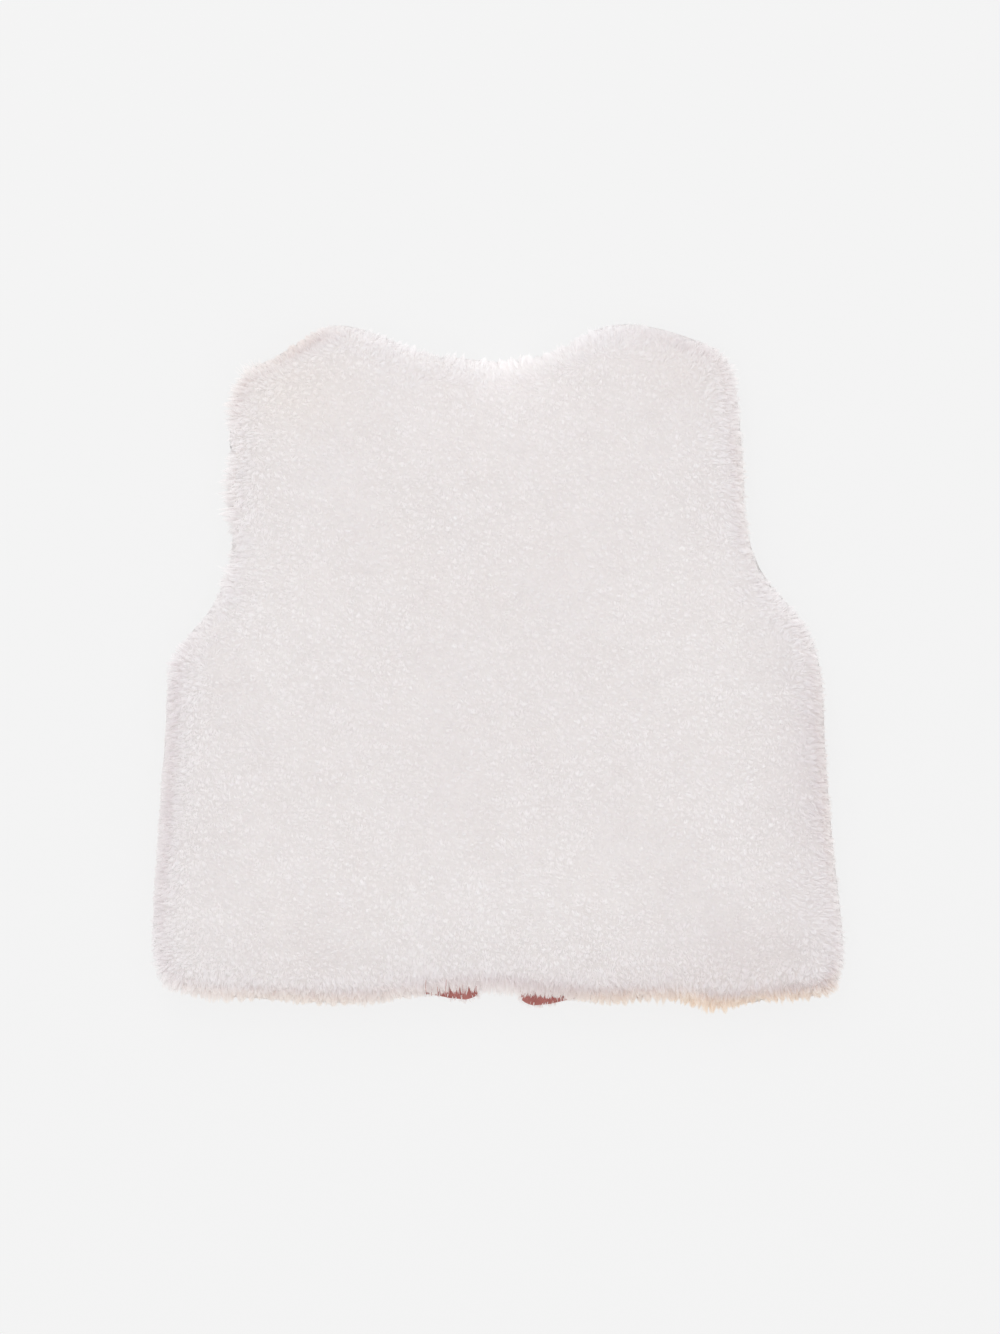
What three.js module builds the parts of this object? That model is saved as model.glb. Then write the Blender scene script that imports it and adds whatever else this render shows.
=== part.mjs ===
// A small child's fur vest, laid flat on a table with its back up.
// It is one plush back, two plush fronts that lie face down under it, and a rust lining on each
// front, which shows at the two rounded corners of the hem. Each plush panel is a wall as thick
// as its ground cloth and its pile together, so its solid reaches as far as the fur does.
// Millimetres. X runs across the vest, Y from the hem to the neck, and Z up from the table.
// "Left" and "right" are as seen from above, with the neck away from the viewer.

import * as THREE from 'three';

// Driving dimensions

const FRONT_WALL = 8.0; // a front's pile, pressed by the weight above it, and its ground cloth
const LINING_WALL = 0.8;
const BACK_WALL = 11.8; // ground cloth and standing pile, at the start of the crown
const SEAM_GAP = 0.3;
const FRONT_OPENING = 20; // between the two fronts, which don't meet when laid
const NECK_DROP_FRONT = 54; // from the top of the shoulder to the lowest point of the front neck
const CROWN_RISE = 1.6; // how much higher the middle of the back stands than its borders
const CROWN_REACH = 45; // how far in from the outline the crown goes on rising

const LINING_FLOOR = FRONT_WALL + SEAM_GAP;
const LINING_TOP = LINING_FLOOR + LINING_WALL;
const BACK_FLOOR = LINING_TOP + SEAM_GAP;
const BACK_SHELF = BACK_FLOOR + BACK_WALL;

// The outline of the back, one row for each level of the body, from the hem's corners to the
// shoulders' tips. The right-hand edge was laid a little lower and fuller than the left.

const LEFT_LEVELS = [
  { level: 'hem corner', x: -170.5, y: -160.0 },
  { level: 'above the hem', x: -174.2, y: -142.0 },
  { level: 'hip', x: -172.5, y: -107.5 },
  { level: 'waist', x: -167.5, y: -30.0 },
  { level: 'side seam top', x: -165.0, y: 3.0 },
  { level: 'underarm', x: -154.0, y: 17.5 },
  { level: 'armhole scoop', x: -141.5, y: 34.0 },
  { level: 'narrowest', x: -133.0, y: 59.0 },
  { level: 'across back', x: -138.0, y: 82.0 },
  { level: 'dip between locks', x: -134.5, y: 106.0 },
  { level: 'below the tip', x: -137.0, y: 128.0 },
  { level: 'shoulder tip', x: -129.0, y: 148.5 },
];
const RIGHT_LEVELS = [
  { level: 'hem corner', x: 172.0, y: -162.0 },
  { level: 'above the hem', x: 174.0, y: -147.0 },
  { level: 'hip', x: 169.0, y: -100.0 },
  { level: 'waist', x: 164.0, y: -42.5 },
  { level: 'side seam top', x: 161.5, y: 2.5 },
  { level: 'underarm', x: 152.0, y: 25.0 },
  { level: 'armhole scoop', x: 135.0, y: 41.0 },
  { level: 'narrowest', x: 125.0, y: 66.0 },
  { level: 'across back', x: 123.5, y: 92.0 },
  { level: 'upper armhole', x: 121.5, y: 122.0 },
  { level: 'shoulder tip', x: 117.5, y: 153.5 },
];

// The hem of the back from left to right. It rides up over the two front corners.

const HEM_STATIONS = [
  { at: 'left corner', x: -158.0, y: -165.0 },
  { at: 'left quarter', x: -124.0, y: -167.5 },
  { at: 'lowest on the left', x: -70.0, y: -170.0 },
  { at: 'start of the left front corner', x: -38.0, y: -165.0 },
  { at: 'over the left front corner', x: -20.0, y: -162.0 },
  { at: 'over the front opening', x: 1.0, y: -162.5 },
  { at: 'over the right front corner', x: 24.0, y: -165.0 },
  { at: 'end of the right front corner', x: 50.0, y: -169.0 },
  { at: 'dip', x: 82.0, y: -167.0 },
  { at: 'lowest on the right', x: 111.5, y: -172.3 },
  { at: 'rise', x: 140.0, y: -167.3 },
  { at: 'right corner', x: 160.0, y: -167.5 },
];

// The top of the back from the left shoulder's tip to the right one's.

const TOP_STATIONS = [
  { at: 'left shoulder, outer', x: -117.0, y: 152.5 },
  { at: 'left shoulder, inner', x: -99.5, y: 162.5 },
  { at: 'left neck point', x: -83.5, y: 171.7 },
  { at: 'left of the neck', x: -65.0, y: 168.0 },
  { at: 'left neck curve', x: -42.0, y: 158.5 },
  { at: 'neck, left of centre', x: -22.0, y: 154.5 },
  { at: 'neck, right of centre', x: 8.0, y: 153.5 },
  { at: 'right neck curve', x: 31.0, y: 159.0 },
  { at: 'right of the neck', x: 46.5, y: 168.5 },
  { at: 'right neck point', x: 60.0, y: 171.9 },
  { at: 'right shoulder, inner', x: 82.0, y: 169.0 },
  { at: 'right shoulder, outer', x: 107.0, y: 160.0 },
];

// The soft rises and hollows that the plush keeps when the vest is smoothed out by hand.

const SOFT_FOLDS = [
  { at: 'left chest', x: -105, y: 45, across: 38, along: 60, rise: 1.1 },
  { at: 'right chest', x: 95, y: 8, across: 36, along: 55, rise: 1.2 },
  { at: 'middle of the back', x: 5, y: -30, across: 70, along: 60, rise: -0.9 },
  { at: 'left shoulder', x: -100, y: 120, across: 32, along: 26, rise: -0.8 },
  { at: 'right shoulder', x: 88, y: 132, across: 34, along: 24, rise: -0.7 },
  { at: 'band over the hem', x: -10, y: -136, across: 150, along: 20, rise: 0.9 },
  { at: 'right side', x: 146, y: -60, across: 16, along: 70, rise: -0.9 },
  { at: 'left hip', x: -130, y: -75, across: 30, along: 50, rise: -0.6 },
];

// How a panel's edge is rounded: each ring lies "inset" inside the outline at height z.

const backRings = [
  { inset: 5.0, z: BACK_FLOOR },
  { inset: 1.8, z: BACK_FLOOR + 0.3 },
  { inset: 0.4, z: BACK_FLOOR + 1.6 },
  { inset: 0.0, z: BACK_FLOOR + 3.8 },
  { inset: 0.7, z: BACK_FLOOR + 6.3 },
  { inset: 2.4, z: BACK_FLOOR + 8.7 },
  { inset: 5.0, z: BACK_FLOOR + 10.6 },
  { inset: 8.5, z: BACK_SHELF },
];
const frontRings = [
  { inset: 4.5, z: 0 },
  { inset: 1.6, z: 0.5 },
  { inset: 0.3, z: 1.9 },
  { inset: 0.0, z: 4.0 },
  { inset: 0.4, z: 6.0 },
  { inset: 1.6, z: 7.5 },
  { inset: 3.6, z: FRONT_WALL },
];
const liningRings = [
  { inset: 0.3, z: LINING_FLOOR },
  { inset: 0.0, z: LINING_FLOOR + 0.4 * LINING_WALL },
  { inset: 0.3, z: LINING_TOP },
];

// Steps along the four edges of a panel, between which its rings and sections are drawn

const BACK_STEPS = { across: 46, along: 34 };
const FRONT_STEPS = { across: 24, along: 34 };
const CORNER_ROUNDS = 2; // how often an outline is smoothed, where its edges meet above all

// Outlines

const point = ({ x, y }) => new THREE.Vector2(x, y);

function smoothEdge(stations, steps) {
  const path = new THREE.CatmullRomCurve3(
    stations.map(({ x, y }) => new THREE.Vector3(x, y, 0)), false, 'centripetal');
  return path.getSpacedPoints(steps).map(point);
}

// The outward normal at each point of a closed outline that runs anticlockwise.
function outwardNormals(outline) {
  const count = outline.length;
  return outline.map((_, i) => {
    const before = outline[(i + count - 1) % count];
    const after = outline[(i + 1) % count];
    return new THREE.Vector2(after.y - before.y, before.x - after.x).normalize();
  });
}

function movedIn(outline, inset) {
  const normals = outwardNormals(outline);
  return outline.map((p, i) => {
    const depth = typeof inset === 'function' ? inset(i) : inset;
    return p.clone().addScaledVector(normals[i], -depth);
  });
}

// Takes the wiggle out of a ring that was moved in round a corner.
function relaxed(ring, rounds) {
  let points = ring;
  for (let round = 0; round < rounds; round += 1) {
    points = points.map((p, i) => {
      const before = points[(i + points.length - 1) % points.length];
      const after = points[(i + 1) % points.length];
      return p.clone().multiplyScalar(0.5).addScaledVector(before, 0.25).addScaledVector(after, 0.25);
    });
  }
  return points;
}

// One closed outline, anticlockwise, from four edges that share their corners, which it rounds.
function joinEdges({ hem, right, top, left }) {
  const outline = [
    ...hem.slice(0, -1),
    ...right.slice(0, -1),
    ...[...top].reverse().slice(0, -1),
    ...[...left].reverse().slice(0, -1),
  ];
  return relaxed(outline, CORNER_ROUNDS);
}

function backEdges() {
  const first = (levels) => levels[0];
  const last = (levels) => levels[levels.length - 1];
  return {
    hem: smoothEdge([first(LEFT_LEVELS), ...HEM_STATIONS, first(RIGHT_LEVELS)], BACK_STEPS.across),
    right: smoothEdge(RIGHT_LEVELS, BACK_STEPS.along),
    top: smoothEdge([last(LEFT_LEVELS), ...TOP_STATIONS, last(RIGHT_LEVELS)], BACK_STEPS.across),
    left: smoothEdge(LEFT_LEVELS, BACK_STEPS.along),
  };
}

// Solids

// The cross blend of four edges: the point that lies u of the way across and v of the way up.
function blended({ hem, right, top, left }, i, j, steps) {
  const u = i / steps.across;
  const v = j / steps.along;
  const acrossBlend = left[j].clone().multiplyScalar(1 - u).addScaledVector(right[j], u);
  const alongBlend = hem[i].clone().multiplyScalar(1 - v).addScaledVector(top[i], v);
  const corners = hem[0].clone().multiplyScalar((1 - u) * (1 - v))
    .addScaledVector(hem[steps.across], u * (1 - v))
    .addScaledVector(top[0], (1 - u) * v)
    .addScaledVector(top[steps.across], u * v);
  return acrossBlend.add(alongBlend).sub(corners);
}

function edgesOf(ring, { across, along }) {
  const at = (k) => ring[k % ring.length];
  const range = (from, count) => Array.from({ length: count + 1 }, (_, k) => at(from + k));
  return {
    hem: range(0, across),
    right: range(across, along),
    top: range(across + along, across).reverse(),
    left: range(2 * across + along, along).reverse(),
  };
}

// A closed wall: rings round the edge, a flat underside, and a top that is flat or a crowned net.
function panelGeometry(outline, rings, steps, crownHeight) {
  const positions = [];
  const faces = [];
  const count = outline.length;
  const ringPoints = rings.map(({ inset }) => relaxed(movedIn(outline, inset), Math.round(inset)));
  ringPoints.forEach((ring, r) => ring.forEach((p) => positions.push(p.x, p.y, rings[r].z)));
  for (let r = 0; r + 1 < rings.length; r += 1) {
    for (let i = 0; i < count; i += 1) {
      const a = r * count + i;
      const b = r * count + (i + 1) % count;
      faces.push(a, b, b + count, a, b + count, a + count);
    }
  }
  const flatFaces = (ring, start, facesUp) => {
    THREE.ShapeUtils.triangulateShape(ring, []).forEach(([a, b, c]) => {
      faces.push(start + a, start + (facesUp ? b : c), start + (facesUp ? c : b));
    });
  };
  flatFaces(ringPoints[0], 0, false);
  const topRing = ringPoints[rings.length - 1];
  const topStart = (rings.length - 1) * count;
  if (!crownHeight) {
    flatFaces(topRing, topStart, true);
  } else {
    const { across, along } = steps;
    const edges = edgesOf(topRing, steps);
    const index = (i, j) => {
      if (j === 0) return topStart + i;
      if (i === across) return topStart + across + j;
      if (j === along) return topStart + 2 * across + along - i;
      if (i === 0) return topStart + (2 * across + 2 * along - j) % count;
      return rings.length * count + (j - 1) * (across - 1) + (i - 1);
    };
    for (let j = 1; j < along; j += 1) {
      for (let i = 1; i < across; i += 1) {
        const p = blended(edges, i, j, steps);
        positions.push(p.x, p.y, crownHeight(p));
      }
    }
    for (let j = 0; j < along; j += 1) {
      for (let i = 0; i < across; i += 1) {
        const [a, b, c, d] = [index(i, j), index(i + 1, j), index(i + 1, j + 1), index(i, j + 1)];
        faces.push(a, b, c, a, c, d);
      }
    }
  }
  const geometry = new THREE.BufferGeometry();
  geometry.setAttribute('position', new THREE.Float32BufferAttribute(positions, 3));
  geometry.setIndex(faces);
  geometry.computeVertexNormals();
  return geometry;
}

function distanceTo(outline, p) {
  let nearest = Infinity;
  outline.forEach((a, i) => {
    const b = outline[(i + 1) % outline.length];
    const run = b.clone().sub(a);
    const share = THREE.MathUtils.clamp(p.clone().sub(a).dot(run) / run.lengthSq(), 0, 1);
    nearest = Math.min(nearest, p.distanceTo(a.clone().addScaledVector(run, share)));
  });
  return nearest;
}

function foldHeight(p) {
  return SOFT_FOLDS.reduce((height, { x, y, across, along, rise }) => {
    const away = ((p.x - x) / across) ** 2 + ((p.y - y) / along) ** 2;
    return height + rise * Math.exp(-away);
  }, 0);
}

// The back: the wall that shows in the photograph, with its pile standing up.
const backOutline = joinEdges(backEdges());

function backPanel() {
  const shelfInset = backRings[backRings.length - 1].inset;
  const crownHeight = (p) => {
    const inside = distanceTo(backOutline, p) - shelfInset;
    const rise = THREE.MathUtils.smoothstep(inside, 0, CROWN_REACH);
    return BACK_SHELF + CROWN_RISE * Math.sqrt(rise) + foldHeight(p) * rise;
  };
  return panelGeometry(backOutline, backRings, BACK_STEPS, crownHeight);
}

// The fronts. Each follows the back along its side seam and shoulder, has a deeper armhole and
// neck, and comes down to a rounded corner at the front opening, a little below the back's hem.
// "toMiddle" is the direction from the side to the front opening: 1 on the left, -1 on the right.

const FRONTS = {
  left: {
    toMiddle: 1,
    levels: LEFT_LEVELS,
    shoulder: [{ x: -117, y: 151.5 }, { x: -99.5, y: 161.0 }],
    neckPoint: { x: -84.5, y: 169.5 },
    hem: [
      { x: -158, y: -163.6 }, { x: -124, y: -166.2 }, { x: -70, y: -167.6 }, { x: -42, y: -166.0 },
      { x: -24, y: -167.2 }, { x: -14.5, y: -167.2 }, { x: -10.3, y: -164.8 },
    ],
    cornerTop: { x: -9.2, y: -160.5 },
  },
  right: {
    toMiddle: -1,
    levels: RIGHT_LEVELS,
    shoulder: [{ x: 107, y: 158.6 }, { x: 82, y: 167.4 }],
    neckPoint: { x: 62, y: 170.0 },
    hem: [
      { x: 160, y: -166.0 }, { x: 140, y: -166.0 }, { x: 111.5, y: -169.6 }, { x: 82, y: -167.5 },
      { x: 50, y: -168.8 }, { x: 26, y: -170.4 }, { x: 18, y: -170.2 }, { x: 12.4, y: -166.8 },
    ],
    cornerTop: { x: 10.4, y: -162.0 },
  },
};
const SIDE_INSET = 0.6;
const ARMHOLE_INSET = 3.5;
const UNDERARM_Y = 6;
const INSET_BLEND = 14;

// How the front opening leans: its middle is at this x where the neck is, and near 0 at the hem.
const OPENING_TOP_X = -9;
const SHOULDER_TOP_Y = 171.8;

function frontEdges({ toMiddle, levels, shoulder, neckPoint, hem, cornerTop }) {
  const neckEnd = {
    x: OPENING_TOP_X - toMiddle * FRONT_OPENING / 2,
    y: SHOULDER_TOP_Y - NECK_DROP_FRONT,
  };
  const neckCurve = Array.from({ length: 8 }, (_, k) => {
    const turn = (k + 1) / 8 * Math.PI / 2;
    return {
      x: neckEnd.x + (neckPoint.x - neckEnd.x) * Math.cos(turn),
      y: neckPoint.y + (neckEnd.y - neckPoint.y) * Math.sin(turn),
    };
  });
  const side = smoothEdge(levels, FRONT_STEPS.along).map((p, i, all) => {
    const before = all[Math.max(i - 1, 0)];
    const after = all[Math.min(i + 1, all.length - 1)];
    const inward = new THREE.Vector2(after.y - before.y, before.x - after.x)
      .normalize().multiplyScalar(toMiddle);
    const armhole = THREE.MathUtils.smoothstep(p.y, UNDERARM_Y - INSET_BLEND, UNDERARM_Y + INSET_BLEND);
    return p.clone().addScaledVector(inward, SIDE_INSET + (ARMHOLE_INSET - SIDE_INSET) * armhole);
  });
  const top = smoothEdge([side[side.length - 1], ...shoulder, neckPoint, ...neckCurve], FRONT_STEPS.across);
  const opening = smoothEdge([cornerTop, neckEnd], FRONT_STEPS.along);
  const hemEdge = smoothEdge([side[0], ...hem, cornerTop], FRONT_STEPS.across);
  if (toMiddle > 0) return { hem: hemEdge, right: opening, top, left: side };
  return { hem: hemEdge.reverse(), right: side, top: top.reverse(), left: opening };
}

function frontPanel(name) {
  return panelGeometry(joinEdges(frontEdges(FRONTS[name])), frontRings, FRONT_STEPS, null);
}

// The linings. Each is cut as its front is, and stops short of the seams and of the armhole, so
// that only its edge along the hem and round the front corner comes out past the fur.
const LINING_INSETS = { hem: 0.2, opening: -0.3, side: 5.0, top: 4.5 };
const LINING_HEM_LIFT = 2.2;
const CORNER_REACH = 42;

function liningPanel(name) {
  const { toMiddle, cornerTop } = FRONTS[name];
  const { across, along } = FRONT_STEPS;
  const outline = joinEdges(frontEdges(FRONTS[name]));
  const rightInset = toMiddle > 0 ? LINING_INSETS.opening : LINING_INSETS.side;
  const leftInset = toMiddle > 0 ? LINING_INSETS.side : LINING_INSETS.opening;
  const insetAt = (i) => {
    const p = outline[i];
    const fromCorner = Math.abs(p.x - cornerTop.x);
    const lift = THREE.MathUtils.smoothstep(fromCorner, CORNER_REACH * 0.6, CORNER_REACH * 1.4);
    if (i <= across) return LINING_INSETS.hem + LINING_HEM_LIFT * lift;
    if (i < across + along) return rightInset;
    if (i <= 2 * across + along) return LINING_INSETS.top;
    return leftInset;
  };
  return panelGeometry(relaxed(movedIn(outline, insetAt), 1), liningRings, FRONT_STEPS, null);
}

// Finishes

const plush = new THREE.MeshStandardMaterial({ color: 0xe9e2e1, roughness: 0.95, metalness: 0 });
const rustLining = new THREE.MeshStandardMaterial({ color: 0xb26a60, roughness: 0.75, metalness: 0 });

function named(name, geometry, material) {
  const mesh = new THREE.Mesh(geometry, material);
  mesh.name = name;
  return mesh;
}

const vest = new THREE.Group();
vest.add(
  named('back', backPanel(), plush),
  named('front_left', frontPanel('left'), plush),
  named('front_right', frontPanel('right'), plush),
  named('lining_left', liningPanel('left'), rustLining),
  named('lining_right', liningPanel('right'), rustLining),
);

export default vest;
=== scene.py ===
# A small child's fur vest, laid flat with its back up. Two plush fronts lie face down on the
# table, each with its rust lining on top, and the plush back lies on them. Metres, +Z up.
# "Left" and "right" are as seen from above, with the neck away from the viewer.

import itertools

import bmesh
import bpy
import numpy as np
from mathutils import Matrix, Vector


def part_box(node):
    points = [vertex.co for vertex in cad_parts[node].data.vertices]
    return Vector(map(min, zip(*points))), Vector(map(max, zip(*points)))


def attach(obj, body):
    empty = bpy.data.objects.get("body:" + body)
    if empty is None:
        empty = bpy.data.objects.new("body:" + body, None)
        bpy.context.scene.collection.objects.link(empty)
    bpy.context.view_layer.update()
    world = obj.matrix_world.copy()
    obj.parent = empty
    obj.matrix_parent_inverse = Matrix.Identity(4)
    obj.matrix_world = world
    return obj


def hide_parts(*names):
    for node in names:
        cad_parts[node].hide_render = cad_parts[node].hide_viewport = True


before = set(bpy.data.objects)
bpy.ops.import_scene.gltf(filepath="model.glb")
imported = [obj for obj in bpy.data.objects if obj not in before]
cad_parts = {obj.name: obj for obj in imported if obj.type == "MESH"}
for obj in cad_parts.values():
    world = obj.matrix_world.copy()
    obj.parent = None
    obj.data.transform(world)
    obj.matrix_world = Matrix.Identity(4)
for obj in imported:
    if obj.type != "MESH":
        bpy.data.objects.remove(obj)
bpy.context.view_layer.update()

# The back's ground cloth is a knitted panel that carries the pile. The fibres stand so close in
# their lower half that they read as one soft body, parted into locks. This piece is that body,
# with the bare knit on its underside.

MM = 0.001
SAME_POINT = 0.001 * MM
UNDERFUR_DEPTH = 1.5 * MM  # from the tips of the pile down to its dense part
RIM_DEPTH = 1.6 * MM  # how much deeper that is round the edge, where the tufts part
PARTING_DEPTH = 0.5 * MM  # how much deeper the partings between locks are
PARTING_WIDTH = 0.6 * MM
KNIT_LIFT = 0.2 * MM
KNIT_FACING = -0.7  # a face that looks this far away from the pile is bare knit
LOCK_PITCH = 7.5 * MM
LOCK_SEED = 11
LOCK_SHAPE = np.array([0.85, 1.15, 0.35])  # wider than long, and tall at the edge
# The dense body is painted darker than the tips, as shade down in the pile, and a little darker
# still in the partings as painted shade
UNDERFUR_LIGHTNESS = 0.87
PARTING_SHADE = 0.01
SHADE_MIDDLE = 4.5 * MM  # how far in from the outline the shade behind the tips is deepest
SHADE_HALF = 4.0 * MM
BLUSH_MIDDLE = 1.5 * MM
BLUSH_HALF = 4.5 * MM

# Where the pile is painted paler or darker than the rest, and where it has a blush of peach.
# The darker places at the right side and towards the hem are painted shade.
TONE_AND_SHADE_PLACES = [
    {"at": "right chest", "x": 100, "y": 12, "across": 36, "along": 42, "light": 0.038, "blush": 0},
    {"at": "left chest", "x": -112, "y": 22, "across": 26, "along": 34, "light": 0.035, "blush": 0},
    {"at": "mid back", "x": 8, "y": -50, "across": 62, "along": 34, "light": -0.008, "blush": 0},
    {"at": "under the yoke", "x": -48, "y": 46, "across": 40, "along": 24, "light": -0.010,
     "blush": 0.01},
    # Painted shade down the right side
    {"at": "right side", "x": 160, "y": -50, "across": 16, "along": 60, "light": -0.210, "blush": 0},
    {"at": "neck", "x": 5, "y": 146, "across": 70, "along": 14, "light": 0.0, "blush": 0.01},
    {"at": "left shoulder", "x": -105, "y": 137, "across": 32, "along": 22, "light": 0.030,
     "blush": 0.065},
    {"at": "right shoulder", "x": 96, "y": 150, "across": 34, "along": 16, "light": -0.015,
     "blush": 0.04},
    {"at": "lower back", "x": 0, "y": -115, "across": 85, "along": 24, "light": 0.036, "blush": 0},
    # Painted shade towards the hem, deepest at its right
    {"at": "above the hem", "x": 20, "y": -161, "across": 120, "along": 10, "light": -0.085,
     "blush": 0.0},
    {"at": "right of the hem", "x": 118, "y": -148, "across": 46, "along": 24, "light": -0.120,
     "blush": 0},
    {"at": "left of the hem", "x": -120, "y": -150, "across": 50, "along": 20, "light": -0.025,
     "blush": 0},
]
# How the edge looks round the panel: tufted above 0 or lying even below 0, with painted shade
# behind the tips, a painted highlight on the tips (darker below 0), and a peach blush that along
# the hem is painted warm light from the rust lining below
EDGE_PLACES = [
    {"at": "left armhole", "x": -138, "y": 75, "across": 26, "along": 46, "shag": 1.0,
     "shade": 0.12, "tips": 0.15, "blush": 0.04},
    {"at": "left shoulder tip", "x": -132, "y": 138, "across": 18, "along": 18, "shag": 0.8,
     "shade": 0.16, "tips": 0.15, "blush": 0.05},
    {"at": "left shoulder", "x": -100, "y": 160, "across": 22, "along": 14, "shag": -0.4,
     "shade": 0.45, "tips": -0.30, "blush": 0.12},
    {"at": "neck", "x": -5, "y": 154, "across": 66, "along": 16, "shag": 0.30,
     "shade": -0.05, "tips": 0.10, "blush": 0.02},
    {"at": "right shoulder", "x": 90, "y": 162, "across": 26, "along": 14, "shag": -0.5,
     "shade": 0.30, "tips": -0.30, "blush": 0.01},
    {"at": "right armhole", "x": 126, "y": 90, "across": 22, "along": 56, "shag": 0.20,
     "shade": 0.30, "tips": 0.95, "blush": 0.07},
    {"at": "right side", "x": 168, "y": -60, "across": 24, "along": 80, "shag": 0.10,
     "shade": 0.22, "tips": 0.80, "blush": 0.09},
    {"at": "left side", "x": -172, "y": -60, "across": 20, "along": 95, "shag": -0.7,
     "shade": 0.45, "tips": -0.30, "blush": 0.03},
    {"at": "left of the hem", "x": -100, "y": -170, "across": 70, "along": 14, "shag": 0.0,
     "shade": 0.46, "tips": 0.80, "blush": 0.27},
    {"at": "middle of the hem", "x": 10, "y": -170, "across": 50, "along": 14, "shag": -0.6,
     "shade": 0.74, "tips": 0.55, "blush": 0.12},
    {"at": "beside the right lining", "x": 54, "y": -168, "across": 16, "along": 10, "shag": -0.2,
     "shade": 0.35, "tips": 0.10, "blush": 0.20},
    {"at": "bright tufts of the hem", "x": 96, "y": -170, "across": 9, "along": 10, "shag": 0.3,
     "shade": -0.25, "tips": 0.30, "blush": 0.10},
    {"at": "right hem corner", "x": 158, "y": -165, "across": 22, "along": 14, "shag": 0.0,
     "shade": 0.40, "tips": 0.10, "blush": 0.10},
    {"at": "right of the hem", "x": 118, "y": -172, "across": 56, "along": 14, "shag": 0.5,
     "shade": 0.95, "tips": 1.10, "blush": 0.64},
]
# Where the tips were brushed further out over the edge, or lie shorter, in millimetres
BRUSHED_PLACES = [
    {"at": "left hem corner", "x": -168, "y": -156, "across": 13, "along": 12, "longer": 2.6},
    {"at": "left of the hem", "x": -140, "y": -167, "across": 16, "along": 9, "longer": 1.7},
    {"at": "left hem dip", "x": -113, "y": -168, "across": 8, "along": 9, "longer": -1.0},
    {"at": "hem under the left front", "x": -66, "y": -169, "across": 24, "along": 9, "longer": 1.2},
    {"at": "hem over the linings", "x": 0, "y": -163, "across": 34, "along": 9, "longer": 3.2},
    {"at": "hem under the right front", "x": 57, "y": -168, "across": 14, "along": 9, "longer": 2.2},
    {"at": "right hem tuft", "x": 105, "y": -171, "across": 11, "along": 9, "longer": 2.6},
    {"at": "right hem dip", "x": 127, "y": -170, "across": 8, "along": 9, "longer": -1.4},
    {"at": "right hem corner", "x": 168, "y": -162, "across": 8, "along": 8, "longer": 1.8},
    {"at": "right side, low", "x": 171, "y": -112, "across": 12, "along": 24, "longer": -1.5},
    {"at": "right side, high", "x": 164, "y": -35, "across": 12, "along": 26, "longer": -1.3},
    {"at": "right armhole, low", "x": 131, "y": 53, "across": 12, "along": 16, "longer": -2.5},
    {"at": "right shoulder tip", "x": 119, "y": 143, "across": 9, "along": 9, "longer": 1.8},
    {"at": "right shoulder", "x": 88, "y": 167, "across": 28, "along": 9, "longer": -1.7},
    {"at": "right of the neck", "x": 27, "y": 158, "across": 13, "along": 9, "longer": -1.3},
    {"at": "left of the neck", "x": -20, "y": 154, "across": 13, "along": 9, "longer": -1.3},
    {"at": "left neck point", "x": -75, "y": 170, "across": 9, "along": 9, "longer": -1.8},
    {"at": "left shoulder", "x": -116, "y": 153, "across": 7, "along": 7, "longer": -1.6},
    {"at": "left shoulder tip", "x": -130, "y": 147, "across": 8, "along": 8, "longer": 3.5},
    {"at": "under the left shoulder", "x": -137, "y": 130, "across": 9, "along": 7, "longer": 3.8},
    {"at": "left armhole, high", "x": -134, "y": 108, "across": 9, "along": 6, "longer": -1.6},
    {"at": "left armhole", "x": -138, "y": 86, "across": 9, "along": 12, "longer": 2.8},
    {"at": "left armhole, low", "x": -133, "y": 56, "across": 9, "along": 5, "longer": -2.0},
    {"at": "above the left underarm", "x": -139, "y": 46, "across": 8, "along": 6, "longer": 2.2},
    {"at": "left underarm", "x": -147, "y": 27, "across": 11, "along": 10, "longer": -2.8},
    {"at": "left side, top", "x": -163, "y": 3, "across": 8, "along": 7, "longer": 2.4},
    {"at": "left side", "x": -168, "y": -38, "across": 9, "along": 18, "longer": -0.7},
]


def merged_solid(node):
    """The solid of a panel with its loose triangles joined into one closed surface."""
    surface = bmesh.new()
    surface.from_mesh(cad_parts[node].data)
    bmesh.ops.remove_doubles(surface, verts=surface.verts, dist=SAME_POINT)
    surface.normal_update()
    return surface


def as_piece(surface, name):
    mesh = bpy.data.meshes.new(name)
    surface.to_mesh(mesh)
    surface.free()
    mesh.shade_smooth()
    piece = bpy.data.objects.new(name, mesh)
    bpy.context.scene.collection.objects.link(piece)
    return piece


def rows_of(items, key):
    """What a mesh's items hold under a key of three numbers, one row for each item."""
    found = np.empty(len(items) * 3, np.float32)
    items.foreach_get(key, found)
    return found.reshape(-1, 3).astype(float)


def ways_out(places, normals):
    """The way out at each point of a solid: straight down where it lies on the table."""
    ways = normals.copy()
    ways[places[:, 2] < SAME_POINT] = (0, 0, -1)
    return ways


CELL_PRIMES = (73856093, 19349663, 83492791)
SEED_PRIME = 2654435761


def lot_of(cells, seed):
    """Three even random numbers for each cell of a lattice, the same for a cell each time."""
    mixed = (cells * CELL_PRIMES).sum(1) + seed * SEED_PRIME
    drawn = []
    for _ in range(3):
        mixed = ((mixed ^ (mixed >> 15)) * 2246822519) & 0xFFFFFFFF
        mixed = ((mixed ^ (mixed >> 13)) * 3266489917) & 0xFFFFFFFF
        drawn.append(mixed / 2**32)
    return np.stack(drawn, 1)


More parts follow.
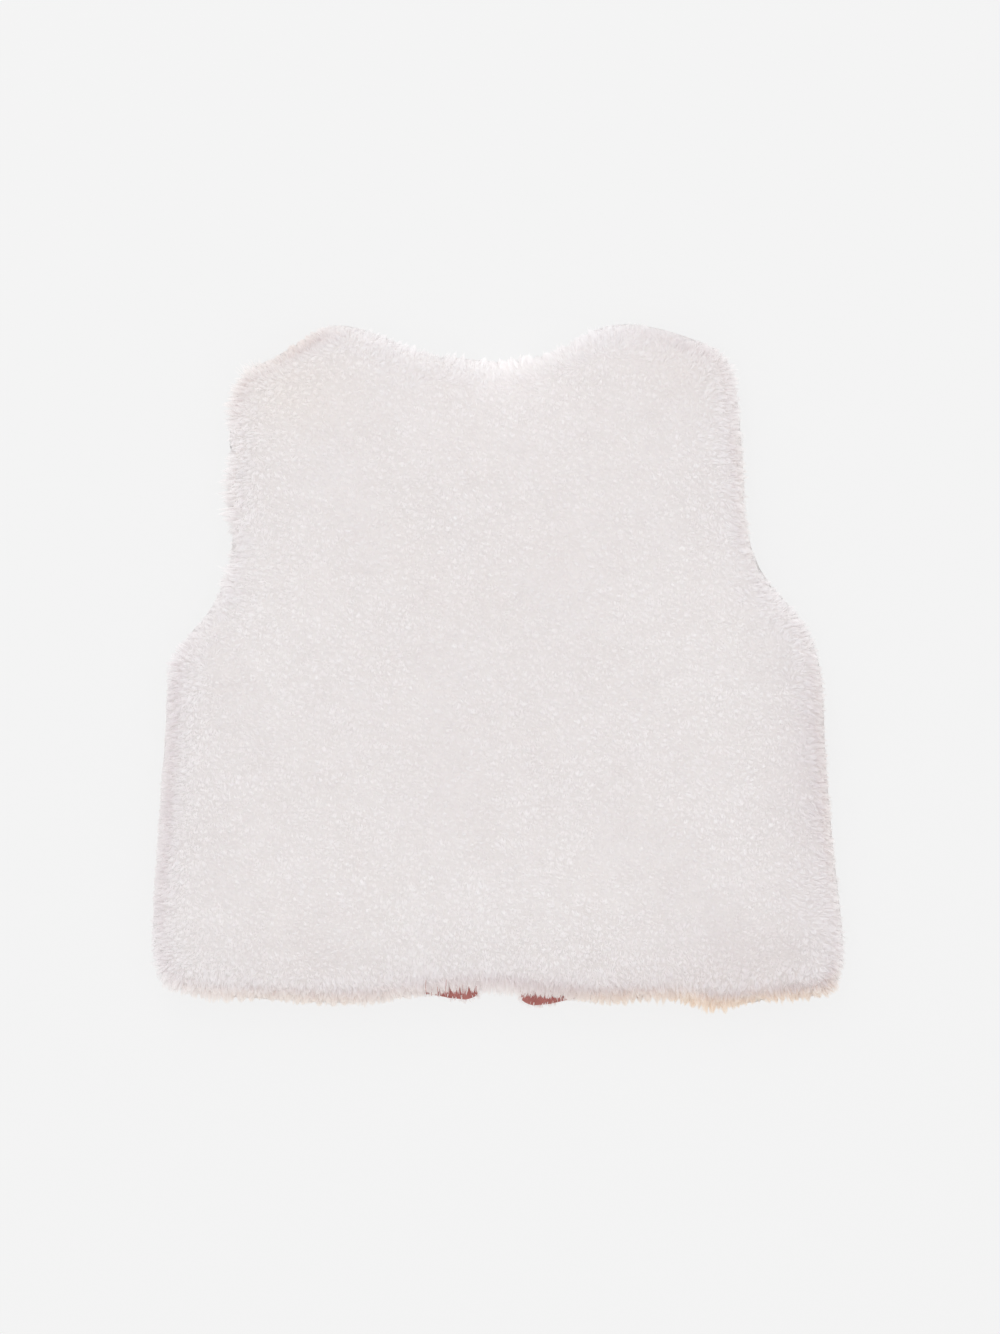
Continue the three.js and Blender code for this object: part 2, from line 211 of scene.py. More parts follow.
def locks_at(places, pitch, seed):
    """For each place, the middle of its lock, how far the lock's border is, and its lot."""
    places = places * LOCK_SHAPE
    home = np.floor(places / pitch).astype(np.int64)
    nearest = np.full(len(places), np.inf)
    next_nearest = nearest.copy()
    own_cell = home.copy()
    for step in itertools.product((-1, 0, 1), repeat=3):
        cell = home + step
        away = np.linalg.norm(places - (cell + lot_of(cell, seed)) * pitch, axis=1)
        closer = away < nearest
        next_nearest = np.where(closer, nearest, np.minimum(next_nearest, away))
        nearest = np.minimum(nearest, away)
        own_cell[closer] = cell[closer]
    middle = (own_cell + lot_of(own_cell, seed)) * pitch / LOCK_SHAPE
    return middle, (next_nearest - nearest) / 2, lot_of(own_cell, seed + 1)


def amounts(table, column, places):
    """How much of a column of a table's soft-edged places lies at each point of the cloth."""
    x, y = places[:, 0] / MM, places[:, 1] / MM
    return sum(
        row[column] * np.exp(-(((x - row["x"]) / row["across"]) ** 2)
                             - ((y - row["y"]) / row["along"]) ** 2)
        for row in table
    )


def edge_ring(node):
    """The panel's outline: the ends of the edges of its widest ring, seen from above."""
    surface = merged_solid(node)
    widest = max(surface.verts, key=lambda vert: vert.co.x).co.z
    ring = [edge for edge in surface.edges
            if all(abs(vert.co.z - widest) < SAME_POINT * 10 for vert in edge.verts)]
    ends = np.array([[vert.co.xy[:] for vert in edge.verts] for edge in ring])
    surface.free()
    return ends


def unit(ways):
    return ways / np.maximum(np.linalg.norm(ways, axis=1), 1e-9)[:, None]


def to_edge(places, ring):
    """How far each place lies inside the outline, and the way out to it, seen from above."""
    start, run = ring[:, 0], ring[:, 1] - ring[:, 0]
    ways = []
    for part in np.array_split(places[:, :2], max(1, len(places) // 20000)):
        along = ((part[:, None] - start) * run).sum(2) / (run**2).sum(1)
        foot = start + along.clip(0, 1)[:, :, None] * run
        nearest = np.linalg.norm(foot - part[:, None], axis=2).argmin(1)
        ways.append(foot[np.arange(len(part)), nearest] - part)
    way = np.column_stack([np.concatenate(ways), np.zeros(len(places))])
    return np.linalg.norm(way, axis=1), unit(way)


def drift(places, wavelength, seed):
    """A slow wandering over the cloth, mostly between -1 and 1."""
    draw = np.random.default_rng(seed)
    waves = draw.normal(size=(7, 3)) * 2 * np.pi / wavelength / 1.7
    return np.cos(places @ waves.T + draw.uniform(0, 2 * np.pi, 7)).sum(1) / 7**0.5


def parting_at(places, to_border):
    """1 along the borders between locks, where the pile parts, and 0 inside the locks."""
    open_here = (0.6 + 0.6 * drift(places, 24 * MM, 51)).clip(0, 1)
    return open_here * np.exp(-((to_border / PARTING_WIDTH) ** 2))


def band_at(inside, middle, half):
    """A soft-edged band that runs round the panel, so far in from its outline."""
    return np.exp(-(((inside - middle) / half) ** 2))


def plush_tone_and_shade(places, inside):
    """The pile's lightness and blush from place to place, with painted shade and warm light at the
    edge.
    """
    lightness = amounts(TONE_AND_SHADE_PLACES, "light", places) + 0.006 * drift(places, 45 * MM, 31)
    warmth = amounts(TONE_AND_SHADE_PLACES, "blush", places) + 0.006 * drift(places, 38 * MM, 32)
    # Painted shade in a band behind the tips of the edge
    shade = amounts(EDGE_PLACES, "shade", places) * band_at(inside, SHADE_MIDDLE, SHADE_HALF)
    # A peach blush near the edge, along the hem painted warm light from the rust lining below
    blush = amounts(EDGE_PLACES, "blush", places) * band_at(inside, BLUSH_MIDDLE, BLUSH_HALF)
    return lightness - shade, warmth + blush, shade


def tint(mesh, lightness, warmth):
    for key, values in (("lightness", lightness), ("warmth", warmth)):
        layer = mesh.attributes.new(key, "FLOAT", "POINT")
        layer.data.foreach_set("value", values.clip(0, 1).astype(np.float32).ravel())


def tugged(places, tugs):
    """The places after the cloth was tugged sideways here and there."""
    moved = places.copy()
    for tug in tugs:
        away = (places[..., :2] / MM - (tug["x"], tug["y"])) / tug["radius"]
        share = np.exp(-(away**2).sum(-1))[..., None]
        moved[..., :2] += share * np.array([tug["right"], tug["up"]]) * MM
    return moved


def ground_cloth(node, name, pile_way, cuts, depth, tugs=()):
    """A panel's dense pile: the solid drawn in from the tips, and deeper in the partings."""
    surface = merged_solid(node)
    bmesh.ops.subdivide_edges(surface, edges=surface.edges, cuts=cuts, use_grid_fill=True)
    surface.normal_update()
    piece = as_piece(surface, name)
    places = rows_of(piece.data.vertices, "co")
    normals = ways_out(places, rows_of(piece.data.vertex_normals, "vector"))
    low, high = places[:, 2].min(), places[:, 2].max()
    _, to_border, _ = locks_at(places, LOCK_PITCH, LOCK_SEED)
    parted = parting_at(places, to_border)
    piled = normals[:, 2] * pile_way > KNIT_FACING
    inward = np.where(piled, depth(normals) + PARTING_DEPTH * parted, 0)
    moved = places - inward[:, None] * normals
    moved[:, 2] = moved[:, 2].clip(low + KNIT_LIFT, high - KNIT_LIFT)
    moved = tugged(moved, tugs)
    piece.data.vertices.foreach_set("co", moved.astype(np.float32).ravel())
    piece.data.update()
    lightness, warmth, _ = plush_tone_and_shade(places, to_edge(places, edge_ring(node))[0])
    # Painted shade: the body darker than the tips, deeper in the partings and behind the edge
    tint(piece.data, UNDERFUR_LIGHTNESS - PARTING_SHADE * parted + lightness, warmth)
    piece.data.materials.append(plush)
    piece.data.materials.append(knit)
    for face in piece.data.polygons:
        if face.normal.z * pile_way < KNIT_FACING:
            face.material_index = 1
    return piece


def panel_cut(node):
    """A panel's flat width and length, and the area that was cut for it."""
    low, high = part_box(node)
    surface = merged_solid(node)
    area = sum(face.calc_area() * abs(face.normal.z) for face in surface.faces) / 2
    surface.free()
    return (high.x - low.x, high.y - low.y), area


def new_finish(name):
    material = bpy.data.materials.new(name)
    material.use_nodes = True
    return material, material.node_tree.nodes, material.node_tree.links


def colour_mix(nodes, first, second):
    mix = nodes.new("ShaderNodeMix")
    mix.data_type = "RGBA"
    mix.inputs["A"].default_value = first
    mix.inputs["B"].default_value = second
    return mix


def plush_finish(light, deep, blush):
    """Soft clear fibre that lets much of its light through. Two attributes tint it, painted shade
    and highlights included.
    """
    material, nodes, links = new_finish("plush_pile")
    fibre = nodes["Principled BSDF"]
    fibre.inputs["Roughness"].default_value = 0.9
    fibre.inputs["Specular IOR Level"].default_value = 0.2
    through = nodes.new("ShaderNodeBsdfTranslucent")
    both = nodes.new("ShaderNodeMixShader")
    both.inputs["Fac"].default_value = 0.5
    depth = colour_mix(nodes, deep, light)
    tinted = colour_mix(nodes, light, blush)
    for mix, key in ((depth, "lightness"), (tinted, "warmth")):
        attribute = nodes.new("ShaderNodeAttribute")
        attribute.attribute_name = key
        links.new(attribute.outputs["Fac"], mix.inputs["Factor"])
    links.new(depth.outputs["Result"], tinted.inputs["A"])
    links.new(tinted.outputs["Result"], fibre.inputs["Base Color"])
    links.new(tinted.outputs["Result"], through.inputs["Color"])
    links.new(fibre.outputs[0], both.inputs[1])
    links.new(through.outputs[0], both.inputs[2])
    links.new(both.outputs[0], nodes["Material Output"].inputs["Surface"])
    return material


WAVE_AT_SCALE_1 = 0.314  # the length of a wave texture's band


def cloth_finish(name, light, deep, thread, lift, roughness):
    """A plain cloth: threads that cross in X and Y, with slubs and a soft unevenness."""
    material, nodes, links = new_finish(name)
    shader = nodes["Principled BSDF"]
    shader.inputs["Roughness"].default_value = roughness
    shader.inputs["Specular IOR Level"].default_value = 0.25
    shader.inputs["Sheen Weight"].default_value = 0.25
    places = nodes.new("ShaderNodeTexCoord")
    threads = []
    for way in ("X", "Y"):
        wave = nodes.new("ShaderNodeTexWave")
        wave.bands_direction = way
        wave.inputs["Scale"].default_value = WAVE_AT_SCALE_1 / thread
        wave.inputs["Distortion"].default_value = 0.6
        wave.inputs["Detail Scale"].default_value = 3.0
        links.new(places.outputs["Object"], wave.inputs["Vector"])
        threads.append(wave)
    weave = nodes.new("ShaderNodeMath")
    weave.operation = "MULTIPLY"
    links.new(threads[0].outputs["Fac"], weave.inputs[0])
    links.new(threads[1].outputs["Fac"], weave.inputs[1])
    slubs = nodes.new("ShaderNodeTexNoise")
    slubs.inputs["Scale"].default_value = 900
    slubs.inputs["Detail"].default_value = 3
    links.new(places.outputs["Object"], slubs.inputs["Vector"])
    fade = nodes.new("ShaderNodeTexNoise")
    fade.inputs["Scale"].default_value = 130
    fade.inputs["Detail"].default_value = 2
    links.new(places.outputs["Object"], fade.inputs["Vector"])
    uneven = nodes.new("ShaderNodeMath")
    uneven.operation = "MULTIPLY_ADD"
    uneven.inputs[1].default_value = 0.5
    links.new(weave.outputs[0], uneven.inputs[0])
    links.new(slubs.outputs["Fac"], uneven.inputs[2])
    blend = nodes.new("ShaderNodeMath")
    blend.operation = "MULTIPLY"
    blend.use_clamp = True
    links.new(uneven.outputs[0], blend.inputs[0])
    links.new(fade.outputs["Fac"], blend.inputs[1])
    colour = colour_mix(nodes, deep, light)
    links.new(blend.outputs[0], colour.inputs["Factor"])
    links.new(colour.outputs["Result"], shader.inputs["Base Color"])
    bump = nodes.new("ShaderNodeBump")
    bump.inputs["Strength"].default_value = 0.6
    bump.inputs["Distance"].default_value = lift
    links.new(uneven.outputs[0], bump.inputs["Height"])
    links.new(bump.outputs["Normal"], shader.inputs["Normal"])
    return material


# Painted shade takes the pile towards the deep colour; the blush colour gives its peach and the
# painted warm glow at the edge
plush = plush_finish(
    light=(0.998, 0.9951, 0.9994, 1), deep=(0.90, 0.866, 0.878, 1), blush=(0.98, 0.91, 0.83, 1))
knit = cloth_finish(
    "knit_backing", light=(0.90, 0.87, 0.84, 1), deep=(0.80, 0.76, 0.72, 1), thread=0.8 * MM,
    lift=0.2 * MM, roughness=0.9)

back = ground_cloth("back", "back_ground_cloth", pile_way=1, cuts=2,
                    depth=lambda normals: UNDERFUR_DEPTH + RIM_DEPTH * (1 - normals[:, 2] ** 2))
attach(back, "root")
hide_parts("back")

# The pile of the back is long, soft fibre. It stands up from the ground cloth, leans out over
# the edges of the panel and gathers into locks, each of finer wisps. It is combed out fibre by
# fibre: a rim that hangs over the edges, and the rest in four bands from the hem to the neck.

ROOT_DEPTH = 2.8 * MM
BACK_FIBRES = 320000
FIBRE_WIDTH = 0.38 * MM
WISP_PITCH = 3.4 * MM
CRACK_WIDTH = 0.5 * MM  # between wisps
WISP_SEED = 16
SEAM_COVER = 5.4 * MM  # how far the edge's tips turn over the seam between back and front
EDGE_REACH = 14 * MM  # how far in from the outline the pile leans outwards
RIM_WIDTH = 5 * MM
RIM_FADE = 4.5 * MM
SHAG_FADE = 8 * MM
SWIRL_LENGTH = 60 * MM
BACK_LEAN = 0.8 * MM
EDGE_LEAN = 2.0 * MM  # how much further the pile leans at the edge
ROOT_SHARE = 0.75  # of a fibre's lean, behind its place
TIP_SHARE = 0.3  # and before it
TUFT_LENGTH = 6.5
BEND_SCATTER = 0.3 * MM
PILE_LIGHTNESS = 0.96
CRACK_SHADE = 0.15
ROOT_SHADE = 0.04
TABLE_GAP = 0.05 * MM
SWATCH_STEP = 0.004  # how far a fibre spreads over the map of all the pile's tints
RIM_STATIONS = (0.35, 0.72)  # where along a fibre its pairs of points lie
FIELD_STATIONS = (0.5,)
BACK_BANDS = [
    {"name": "back_pile_hem", "from": -1.0, "to": -0.098},
    {"name": "back_pile_waist", "from": -0.098, "to": -0.025},
    {"name": "back_pile_middle", "from": -0.025, "to": 0.060},
    {"name": "back_pile_shoulders", "from": 0.060, "to": 1.0},
]


def along_cloth(ways, out):
    """What is left of each way when it is laid along the cloth."""
    return ways - out * (ways * out).sum(1)[:, None]


def scattered(node, count, wanted, draw):
    """Places spread evenly over the wanted faces of a solid, and the way out at each."""
    surface = merged_solid(node)
    bmesh.ops.triangulate(surface, faces=surface.faces)
    corners = np.array([[vert.index for vert in face.verts] for face in surface.faces])
    places = np.array([vert.co[:] for vert in surface.verts])
    normals = ways_out(places, np.array([vert.normal[:] for vert in surface.verts]))
    surface.free()
    a, b, c = (places[corners[:, k]] for k in range(3))
    weight = np.linalg.norm(np.cross(b - a, c - a), axis=1) * wanted(normals[corners].mean(1))
    total = np.cumsum(weight)
    step = (np.arange(count) + draw.random(count)) / count * total[-1]
    face = np.searchsorted(total, step)
    share = draw.dirichlet((1, 1, 1), count)[:, :, None]
    at = (places[corners[face]] * share).sum(1)
    return at, unit((normals[corners[face]] * share).sum(1))


def leaves(name, places):
    """A piece of narrow leaves: each row of places is a root, one or more pairs and a tip."""
    count, points = places.shape[:2]
    last = points - 1
    corners = [0, 1, 2]
    for k in range(1, last - 2, 2):
        corners += [k, k + 2, k + 3, k + 1]
    corners = np.array(corners + [last - 2, last, last - 1])
    sizes = np.array([3] + [4] * (last // 2 - 1) + [3])
    mesh = bpy.data.meshes.new(name)
    mesh.vertices.add(count * points)
    mesh.vertices.foreach_set("co", places.astype(np.float32).ravel())
    mesh.loops.add(count * len(corners))
    index = (np.arange(count)[:, None] * points + corners).astype(np.int32)
    mesh.loops.foreach_set("vertex_index", index.ravel())
    mesh.polygons.add(count * len(sizes))
    starts = np.concatenate([[0], np.cumsum(np.tile(sizes, count))[:-1]]).astype(np.int32)
    mesh.polygons.foreach_set("loop_start", starts)
    mesh.update(calc_edges=True)
    piece = bpy.data.objects.new(name, mesh)
    bpy.context.scene.collection.objects.link(piece)
    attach(piece, "root")
    return piece, index.ravel()


class Pile:
    """Fibres over one side of a panel: their roots, bends, tips, widths and tints."""

    def __init__(self, node, count, seed, pile_way, wanted, root_depth, lean, width, tugs=()):
        draw = np.random.default_rng(seed)
        self.tugs = tugs
        at, out = scattered(node, count, wanted, draw)
        inside, way_out = to_edge(at, edge_ring(node))
        at_edge = np.exp(-((inside / EDGE_REACH) ** 2))
        shag = amounts(EDGE_PLACES, "shag", at) * band_at(inside, 0, SHAG_FADE)
        tufted, uneven = shag.clip(0, None), 1 + shag.clip(-1, 0)
        lock, to_border, lot = locks_at(at, LOCK_PITCH, LOCK_SEED)
        parted = parting_at(at, to_border)
        wisp, to_crack, wisp_lot = locks_at(at, WISP_PITCH, WISP_SEED)
        cracked = np.exp(-((to_crack / CRACK_WIDTH) ** 2))
        at_rim = band_at(inside, 0, RIM_FADE)

        hang = np.array([0.0, -1.0, 0.0])
        swirl = np.column_stack(
            [drift(at, SWIRL_LENGTH, 21), drift(at, SWIRL_LENGTH, 22), 0 * inside])
        nap = unit(
            at_edge[:, None] * (2.0 * way_out + 0.5 * hang)
            + (1 - at_edge)[:, None] * (0.6 * hang + 0.8 * swirl))
        nap = along_cloth(nap, out)
        stray = draw.uniform(0.6, 1.3, count)
        reach = (lean(out) + EDGE_LEAN * at_edge) * stray
        lock_lean = along_cloth(lot - 0.5, out) * ((1.1 + 1.7 * at_edge) * uneven)[:, None] * MM
        to_lock = along_cloth(lock - at, out)
        to_wisp = along_cloth(wisp - at, out)
        height = MM * (
            0.3 * (lot[:, 2] - 0.6) + 0.25 * (wisp_lot[:, 2] - 0.5) + draw.normal(0, 0.2, count)
            + at_rim * uneven * (0.7 * (lot[:, 2] - 0.5) + 1.6 * (wisp_lot[:, 0] - 0.5)
                                 + draw.normal(0, 0.4, count))
            + at_rim * amounts(BRUSHED_PLACES, "longer", at)
            + tufted * TUFT_LENGTH * (lot[:, 0] - 0.45))
        gather = (0.10 + 0.28 * tufted)[:, None]
        gather_wisp = ((0.48 + 0.22 * at_rim) * uneven)[:, None]
        depth = root_depth(out)[:, None]
        self.roots = at - out * depth - nap * (ROOT_SHARE * reach)[:, None]
        self.tips = (at + out * height[:, None] + nap * (TIP_SHARE * reach)[:, None] + lock_lean
                     + gather * to_lock + gather_wisp * to_wisp)
        at_seam = at_rim * (0.6 - out[:, 2] * pile_way).clip(0, 1)
        self.tips[:, 2] -= pile_way * SEAM_COVER * at_seam
        self.bends = self.roots + out * depth * 0.85 + (self.tips - self.roots) * 0.1
        self.bends += draw.normal(0, BEND_SCATTER, self.bends.shape)
        self.facing = unit(np.cross(self.tips - self.roots, draw.normal(size=(count, 3))))
        self.width = width * draw.uniform(0.7, 1.3, count) * (1 - 0.2 * at_rim)
        lightness, self.warmth, shade = plush_tone_and_shade(at, inside)
        # Painted shade: darker in the partings, in the cracks between wisps and behind the edge's
        # tips. Locks and wisps also differ at random.
        self.lightness = (
            PILE_LIGHTNESS + lightness - 0.015 * parted - CRACK_SHADE * cracked
            + 0.006 * (lot[:, 1] - 0.5)
            + (0.05 + 0.5 * shade) * (wisp_lot[:, 1] - 0.5) + draw.normal(0, 0.004, count))
        # Painted highlight on the tips at the edge, darker where the table's tips are below 0, and a
        # painted warm glow on them
        self.tip_highlight = (amounts(EDGE_PLACES, "tips", at) + 0.02) * at_rim
        self.tip_blush = amounts(EDGE_PLACES, "blush", at) * at_rim
        self.at, self.inside = at, inside

    def comb(self, name, chosen, stations):
        """Lays the chosen fibres into one piece, each a narrow leaf with a fine tip."""
        roots, bends, tips = self.roots[chosen], self.bends[chosen], self.tips[chosen]
        half = self.facing[chosen] * self.width[chosen, None] / 2
        rows = [roots]
        for t in stations:
            middle = (1 - t) ** 2 * roots + 2 * t * (1 - t) * bends + t**2 * tips
            rows += [middle - half, middle + half]
            half = half * 0.7
        places = tugged(np.stack(rows + [tips], 1), self.tugs)
        places[:, :, 2] = np.maximum(places[:, :, 2], TABLE_GAP)
        along = np.concatenate([[0.0], np.repeat(stations, 2), [1.0]])
        piece, corners = leaves(name, places)
        # Roots painted darker as shade; tips at the edge painted lighter as a highlight, and warmer
        lightness = self.lightness[chosen, None] + ROOT_SHADE * (along - 1)
        lightness = lightness + self.tip_highlight[chosen, None] * along**4
        warmth = self.warmth[chosen, None] + self.tip_blush[chosen, None] * along**2
        tint(piece.data, lightness, warmth)
        across = np.concatenate([[0.5], np.tile([0.0, 1.0], len(stations)), [0.5]])
        swatch = np.stack([warmth + SWATCH_STEP * across, lightness + SWATCH_STEP * along], 2)
        bake_map = piece.data.uv_layers.new(name="OFBake")
        bake_map.uv.foreach_set(
            "vector", swatch.clip(0, 1).reshape(-1, 2)[corners].astype(np.float32).ravel())
        piece.data.materials.append(plush)
        return piece


back_fibres = Pile(
    "back", BACK_FIBRES, seed=3, pile_way=1, wanted=lambda out: out[:, 2] > -0.8,
    root_depth=lambda out: ROOT_DEPTH + RIM_DEPTH * (1 - out[:, 2] ** 2),
    lean=lambda out: np.full(len(out), BACK_LEAN), width=FIBRE_WIDTH)
rim = back_fibres.inside < RIM_WIDTH
back_pile = [back_fibres.comb("back_pile_rim", rim, RIM_STATIONS)]
level = back_fibres.at[:, 1]
for band in BACK_BANDS:
    within = ~rim & (level >= band["from"]) & (level < band["to"])
    back_pile.append(back_fibres.comb(band["name"], within, FIELD_STATIONS))

flat, area = panel_cut("back")

# Each front is a panel of the same plush that lies face down. The weight above presses its pile
# flat against the table and makes it spread at the edges. The knit side faces up, to the lining.

PRESSED_DEPTH = 1.3 * MM  # from the tips to the dense part under the panel
FREE_DEPTH = 2.6 * MM  # and at its edge
FREE_ROOTS = 4.5 * MM
ROOTS_PRESSED = 2.6 * MM  # how much shallower the roots lie under the panel
FREE_LEAN = 1.5
LEAN_PRESSED = 6.0
FRONT_FIBRES = 25000
FRONT_FIBRE_WIDTH = 0.8 * MM
# How the rounded corner at each front's opening was tugged into place, in millimetres
CORNER_TUGS = [
    {"at": "left corner", "x": -16, "y": -164, "radius": 9, "right": 3.4, "up": -2.3},
    {"at": "left hem", "x": -38, "y": -166, "radius": 10, "right": 0, "up": 1.2},
    {"at": "right corner", "x": 17, "y": -167, "radius": 9, "right": -4.2, "up": -2.7},
    {"at": "right hem", "x": 38, "y": -169, "radius": 9, "right": 0, "up": 2.0},
]


def pressed(out):
    """1 where the pile lies between the panel and the table, and 0 at the panel's edge."""
    return (-out[:, 2]).clip(0, 1) ** 2


for side, seed in (("left", 5), ("right", 6)):
    node = "front_" + side
    front = ground_cloth(
        node, node + "_ground_cloth", pile_way=-1, cuts=1,
        depth=lambda normals: FREE_DEPTH - (FREE_DEPTH - PRESSED_DEPTH) * pressed(normals),
        tugs=CORNER_TUGS)
    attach(front, "root")
    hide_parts(node)
    pile = Pile(
        node, FRONT_FIBRES, seed=seed, pile_way=-1, wanted=lambda out: out[:, 2] < 0.75,
        root_depth=lambda out: FREE_ROOTS - ROOTS_PRESSED * pressed(out),
        lean=lambda out: (FREE_LEAN + LEAN_PRESSED * pressed(out)) * MM,
        width=FRONT_FIBRE_WIDTH, tugs=CORNER_TUGS)
    rim = pile.inside < RIM_WIDTH
    front_pile = [
        pile.comb(node + "_pile_rim", rim, RIM_STATIONS),
        pile.comb(node + "_pile_face", ~rim, FIELD_STATIONS),
    ]
    flat, area = panel_cut(node)

# Each front's lining is a plain-woven rust cotton, sewn to the plush along the hem and round the
# front corner with its edge turned under. It lies on the knit side of its front.

RUST_LIGHT = (0.64, 0.245, 0.22, 1)
RUST_DEEP = (0.36, 0.13, 0.115, 1)
PUCKER = 0.22 * MM
PUCKER_PITCH = 9 * MM
PUCKER_FADE = 6 * MM  # how far in from the sewn edge the puckers die away
rust = cloth_finish(
    "rust_cotton", light=RUST_LIGHT, deep=RUST_DEEP, thread=0.45 * MM, lift=0.12 * MM,
    roughness=0.8)

for side in ("left", "right"):
    node = "lining_" + side
    surface = merged_solid(node)
    bmesh.ops.subdivide_edges(surface, edges=surface.edges, cuts=2, use_grid_fill=True)
    lining = as_piece(surface, node + "_cotton")
    places = rows_of(lining.data.vertices, "co")
    inside, _ = to_edge(places, edge_ring(node))
    wandering = 2 * drift(places, SWIRL_LENGTH, 41)
    wave = np.sin(places[:, 0] * 2 * np.pi / PUCKER_PITCH + wandering)
    places[:, 2] += PUCKER * wave * np.exp(-inside / PUCKER_FADE)
    places = tugged(places, CORNER_TUGS)
    lining.data.vertices.foreach_set("co", places.astype(np.float32).ravel())
    lining.data.update()
    lining.data.materials.append(rust)
    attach(lining, "root")
    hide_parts(node)
    flat, area = panel_cut(node)

# Cut ends of the rust sewing thread have worked up through the fur over each lining. They lie on
# the tips of the pile, from the lining's edge upwards. Places and lengths are in millimetres.

THREAD_WIDTH = 0.3 * MM
THREAD_STATIONS = (0.1, 0.3, 0.5, 0.7, 0.88)
THREAD_LIFT = 0.15 * MM
THREAD_SWAY = 0.35 * MM
THREAD_SEED = 61
THREAD_RUNS = {
    "left": [
        {"x": -36.0, "from": -165.0, "long": 9.0}, {"x": -33.5, "from": -165.0, "long": 3.5},
        {"x": -30.5, "from": -165.5, "long": 7.5}, {"x": -26.3, "from": -166.0, "long": 10.0},
        {"x": -25.2, "from": -166.0, "long": 5.5}, {"x": -22.0, "from": -166.5, "long": 4.0},
        {"x": -20.0, "from": -167.0, "long": 7.5}, {"x": -18.6, "from": -167.0, "long": 8.5},
        {"x": -17.2, "from": -167.0, "long": 6.0}, {"x": -14.0, "from": -166.0, "long": 4.0},
        {"x": -11.0, "from": -163.5, "long": 4.5},
    ],
    "right": [
        {"x": 12.5, "from": -167.5, "long": 3.5}, {"x": 14.5, "from": -169.0, "long": 4.5},
        {"x": 18.0, "from": -170.0, "long": 4.0}, {"x": 23.0, "from": -169.5, "long": 5.5},
        {"x": 25.5, "from": -169.5, "long": 8.0}, {"x": 28.5, "from": -169.0, "long": 3.5},
        {"x": 31.5, "from": -168.5, "long": 4.0},
    ],
}


def pile_top(x, y, reach=0.9 * MM):
    """How high the tips of the back's pile stand near a point, or the lining where it is bare."""
    tips = back_fibres.tips
    near = (abs(tips[:, 0] - x) < reach) & (abs(tips[:, 1] - y) < reach)
    return tips[near, 2].max() if near.any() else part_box("lining_left")[1].z


for side, runs in THREAD_RUNS.items():
    draw = np.random.default_rng(THREAD_SEED)
    threads = []
    for run in runs:
        sway = draw.normal(0, THREAD_SWAY, 2)
        rows = []
        for t in (0.0, *THREAD_STATIONS, 1.0):
            x = run["x"] * MM + sway[0] * t + sway[1] * np.sin(3 * t)
            y = (run["from"] + run["long"] * t) * MM
            half = THREAD_WIDTH / 2 * (1 - 0.6 * t) * (0 < t < 1)
            z = pile_top(x, y) + THREAD_LIFT
            rows += [(x - half, y, z), (x + half, y, z)] if half else [(x, y, z)]
        threads.append(rows)
    piece, _ = leaves("thread_ends_" + side, np.array(threads))
    piece.data.materials.append(rust)

# The table is a plain pale sheet of acrylic, lit from within. A wide soft sky lights the vest, with
# one broad lamp beyond the neck, so that the hem and the right side are a little deeper.

FLOOR_HALF = 3.0
FLOOR_GREY = (0.1, 0.1, 0.1, 1)
FLOOR_GLOW = 0.796
WHITE = (1, 1, 1, 1)
SKY_STRENGTH = 0.992
LAMP_WIDTH = 1.8
LAMP_WATTS = 12
LAMP_PLACE = (-0.6, 2.2, 1.6)

floor_surface = bmesh.new()
bmesh.ops.create_grid(floor_surface, x_segments=1, y_segments=1, size=FLOOR_HALF)
floor = as_piece(floor_surface, "floor")
acrylic, nodes, _ = new_finish("lit_acrylic")
sheet = nodes["Principled BSDF"]
sheet.inputs["Base Color"].default_value = FLOOR_GREY
sheet.inputs["Roughness"].default_value = 0.95
sheet.inputs["Specular IOR Level"].default_value = 0.0
sheet.inputs["Emission Color"].default_value = WHITE
sheet.inputs["Emission Strength"].default_value = FLOOR_GLOW
acrylic.cycles.emission_sampling = "NONE"
floor.data.materials.append(acrylic)

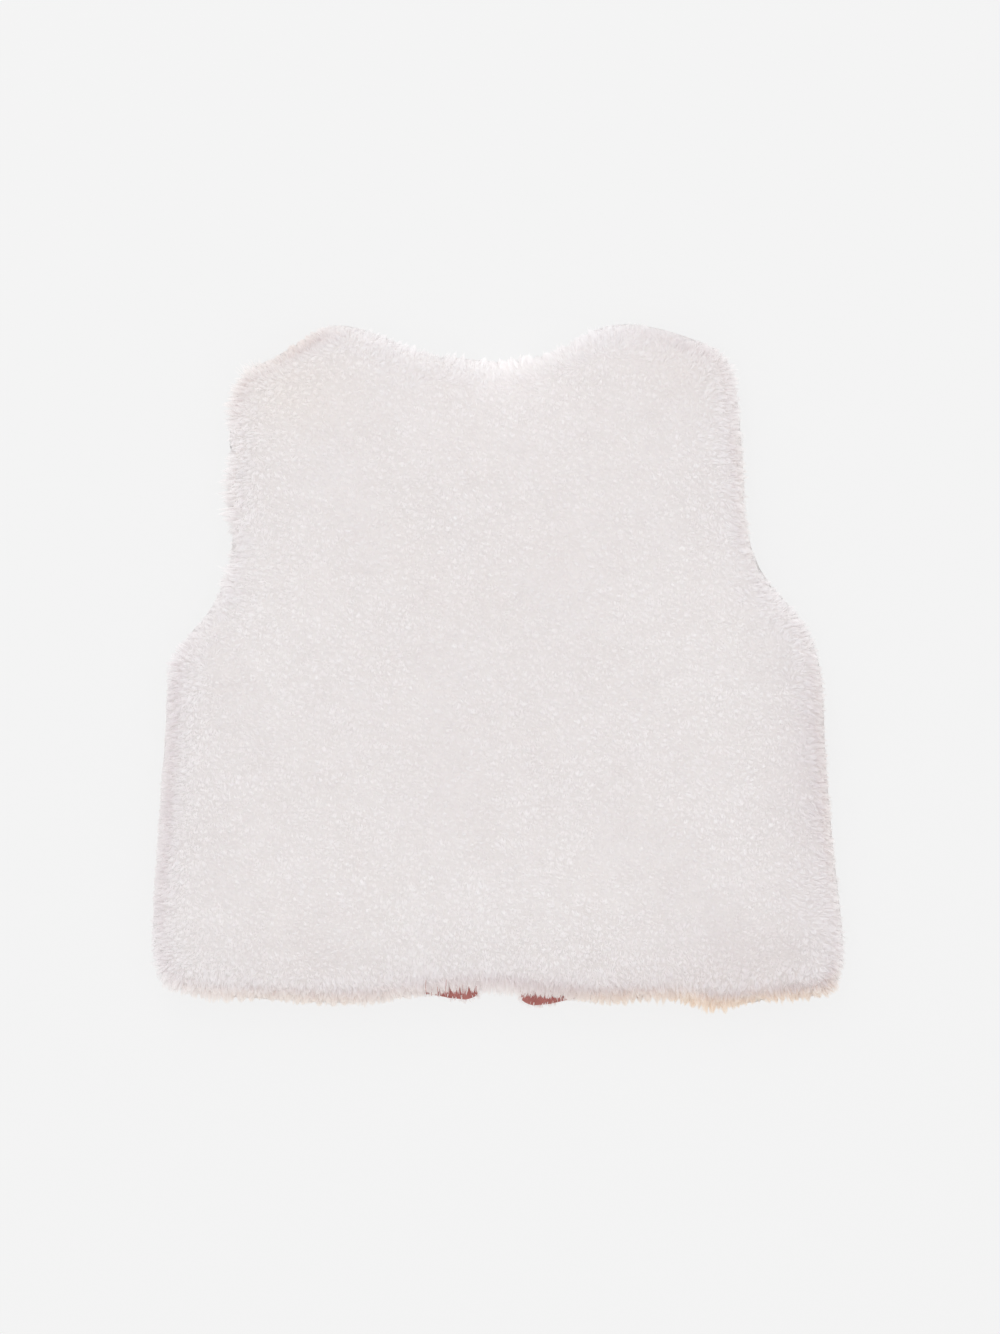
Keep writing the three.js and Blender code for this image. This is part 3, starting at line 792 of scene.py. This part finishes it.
sky = bpy.data.worlds.new("soft_sky")
bpy.context.scene.world = sky
sky.use_nodes = True
sky.node_tree.nodes["Background"].inputs["Color"].default_value = WHITE
sky.node_tree.nodes["Background"].inputs["Strength"].default_value = SKY_STRENGTH
sky.cycles.sampling_method = "NONE"

lamp_light = bpy.data.lights.new("neck_lamp", "AREA")
lamp_light.shape = "DISK"
lamp_light.size = LAMP_WIDTH
lamp_light.energy = LAMP_WATTS
lamp = bpy.data.objects.new("neck_lamp", lamp_light)
lamp.location = LAMP_PLACE
lamp.rotation_euler = (-lamp.location).to_track_quat("-Z", "Y").to_euler()
bpy.context.scene.collection.objects.link(lamp)

# Two soft spots from above pick out the neck's edge, the smaller one the tufts in its middle.

SPOT_HEIGHT = 0.6
NECK_X = 3 * MM
NECK_Y = 151 * MM
NECK_SPOTS = [
    {"name": "neck_spot", "radius": 0.075, "watts": 0.25},
    {"name": "tuft_spot", "radius": 0.022, "watts": 1.7},
]

for row in NECK_SPOTS:
    spot_light = bpy.data.lights.new(row["name"], "SPOT")
    spot_light.energy = row["watts"]
    spot_light.shadow_soft_size = 0.01
    spot_light.spot_size = 2 * row["radius"] / SPOT_HEIGHT
    spot_light.spot_blend = 1.0
    spot = bpy.data.objects.new(row["name"], spot_light)
    spot.location = (NECK_X, NECK_Y, SPOT_HEIGHT)
    bpy.context.scene.collection.objects.link(spot)

# The camera looks straight down. The photo's long side takes in 667 mm at the edge of the plush.

PHOTO_LONG_SIDE = 0.667
LENS = 85
SENSOR = 36
PLUSH_EDGE = 13 * MM  # above the table
VIEW_X = 0.5 * MM
VIEW_Y = -1 * MM

camera_data = bpy.data.cameras.new("camera")
camera_data.lens = LENS
camera_data.sensor_width = SENSOR
camera = bpy.data.objects.new("camera", camera_data)
camera.location = (VIEW_X, VIEW_Y, PLUSH_EDGE + PHOTO_LONG_SIDE * LENS / SENSOR)
bpy.context.scene.collection.objects.link(camera)
bpy.context.scene.camera = camera
bpy.context.scene.view_settings.view_transform = "Standard"

# Light passes through many fibres before it comes out of the pile.
bpy.context.scene.cycles.max_bounces = 24
bpy.context.scene.cycles.diffuse_bounces = 16
bpy.context.scene.cycles.transmission_bounces = 16
